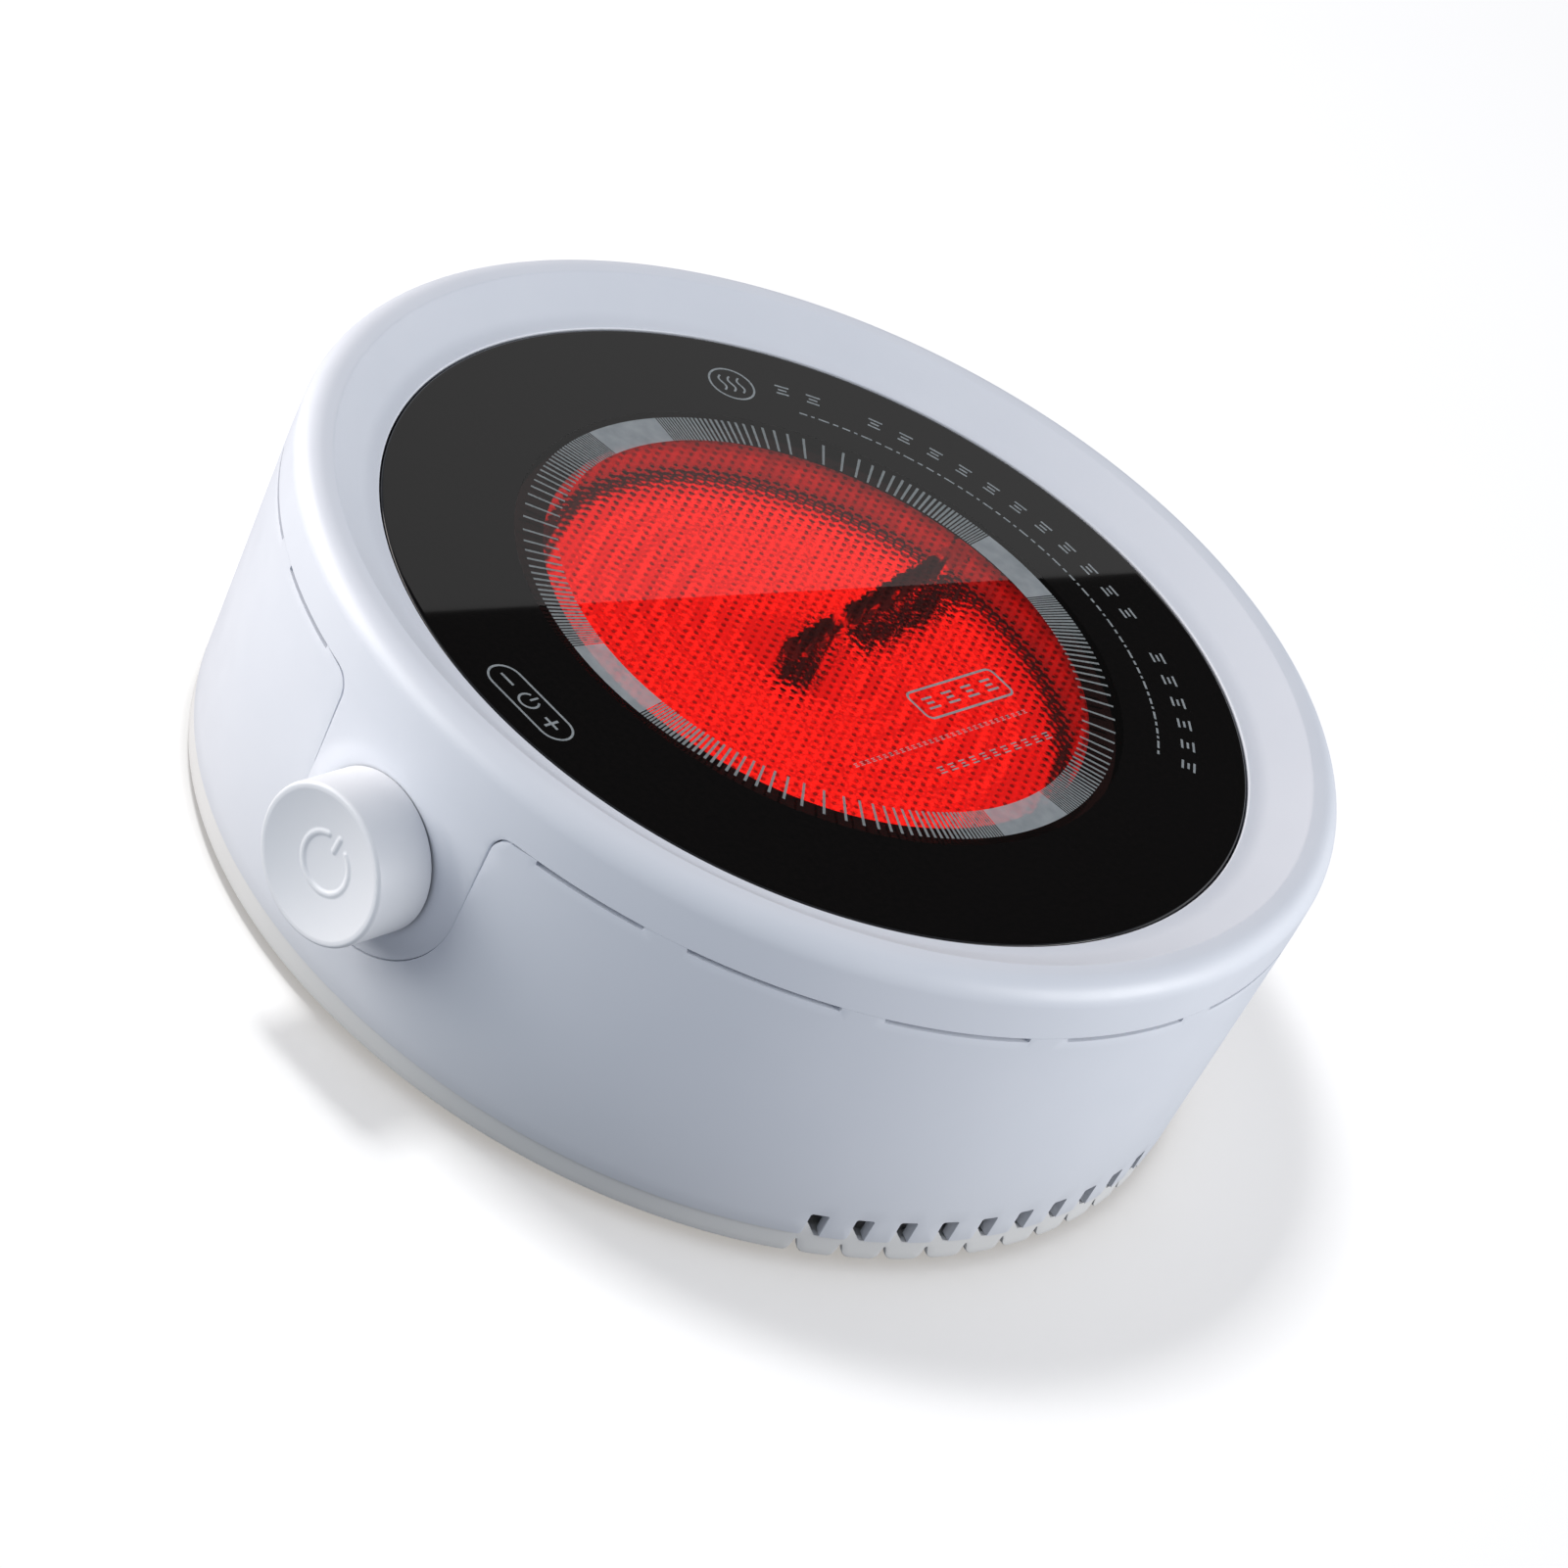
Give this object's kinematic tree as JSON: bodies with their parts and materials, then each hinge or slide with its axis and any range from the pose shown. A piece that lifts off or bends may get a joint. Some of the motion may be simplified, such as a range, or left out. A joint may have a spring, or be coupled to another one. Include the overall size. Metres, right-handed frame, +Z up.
{
  "type": "hot plate burner",
  "caption": "Round tabletop infrared hot plate: white drum housing, black glass-ceramic top with a glowing ribbon heater, and a push-and-turn knob on the side.",
  "frame": {"origin": "on the surface it stands on, at the centre of the bounding box, 5.3 mm in front of the drum axis", "axes": "+Z up, -Y towards the knob, +Y towards the cord gland"},
  "size_m": [0.1992, 0.2126, 0.0687],
  "materials": {
    "white_abs": "satin moulded",
    "ivory_abs": "satin moulded",
    "black_glass": "polished glass-ceramic, black underside print, clear over the heater",
    "silicone": "soft",
    "black_rubber": "matt",
    "plated_steel": "zinc plated sheet",
    "screw_zinc": "zinc plated",
    "white_fibre": "pressed ceramic fibre",
    "hot_ribbon": "glowing resistance ribbon",
    "steatite": "unglazed",
    "green_board": "solder mask",
    "black_plastic": "moulded",
    "yellow_tape": "taped winding",
    "wire_sleeve": "silicone sleeve"
  },
  "bodies": {
    "root": {"upper_shell": "white_abs", "side_skirt": "white_abs", "bottom_cover": "ivory_abs", "cord_gland": "black_rubber", "foot_1": "black_rubber", "foot_2": "black_rubber", "foot_3": "black_rubber", "foot_4": "black_rubber", "housing_screw_1": "screw_zinc", "housing_screw_2": "screw_zinc", "housing_screw_3": "screw_zinc", "housing_screw_4": "screw_zinc", "glass_plate": "black_glass", "glass_seal": "silicone", "heater_pan": "plated_steel", "fibre_base": "white_fibre", "fibre_ring": "white_fibre", "heating_coil": "hot_ribbon", "limiter_rod": "plated_steel", "limiter_head": "steatite", "heater_terminal": "steatite", "heater_bracket": "plated_steel", "heat_shield": "plated_steel", "bracket_screw_1": "screw_zinc", "bracket_screw_2": "screw_zinc", "encoder_bushing": "plated_steel", "encoder_nut": "screw_zinc", "encoder_housing": "black_plastic", "switch_dome": "plated_steel", "control_board": "green_board", "main_board": "green_board", "relay": "black_plastic", "transformer": "yellow_tape", "capacitor": "black_plastic", "fuse": "steatite", "triac": "black_plastic", "heatsink": "plated_steel", "mains_terminal": "steatite", "fan_frame": "black_plastic", "fan_guard": "plated_steel", "heater_lead_1": "wire_sleeve", "heater_lead_2": "wire_sleeve", "control_ribbon": "wire_sleeve"},
    "encoder_rotor": {"encoder_rotor": "black_plastic"},
    "knob": {"knob_cap": "white_abs", "encoder_shaft": "plated_steel"},
    "switch_plunger": {"switch_plunger": "black_plastic"},
    "fan_rotor": {"fan_rotor": "black_plastic"}
  },
  "joints": [
    {"name": "knob_turn", "type": "hinge", "parent": "root", "child": "encoder_rotor", "pos_m": [0, -0.0793, 0.0368], "axis": [0, -1, 0], "continuous": true},
    {"name": "knob_push", "type": "slide", "parent": "encoder_rotor", "child": "knob", "axis": [0, 1, 0], "range_m": [0, 0.0015], "stiffness_N_per_m": 1200, "springref_m": -0.001},
    {"name": "plunger_travel", "type": "slide", "parent": "root", "child": "switch_plunger", "axis": [0, 1, 0], "range_m": [0, 0.0015]},
    {"name": "fan_spin", "type": "hinge", "parent": "root", "child": "fan_rotor", "pos_m": [0, 0.0053, 0.016], "axis": [0, 0, 1], "continuous": true}
  ],
  "couplings": [
    {"joint": "plunger_travel", "follows": "knob_push", "ratio": 1}
  ]
}
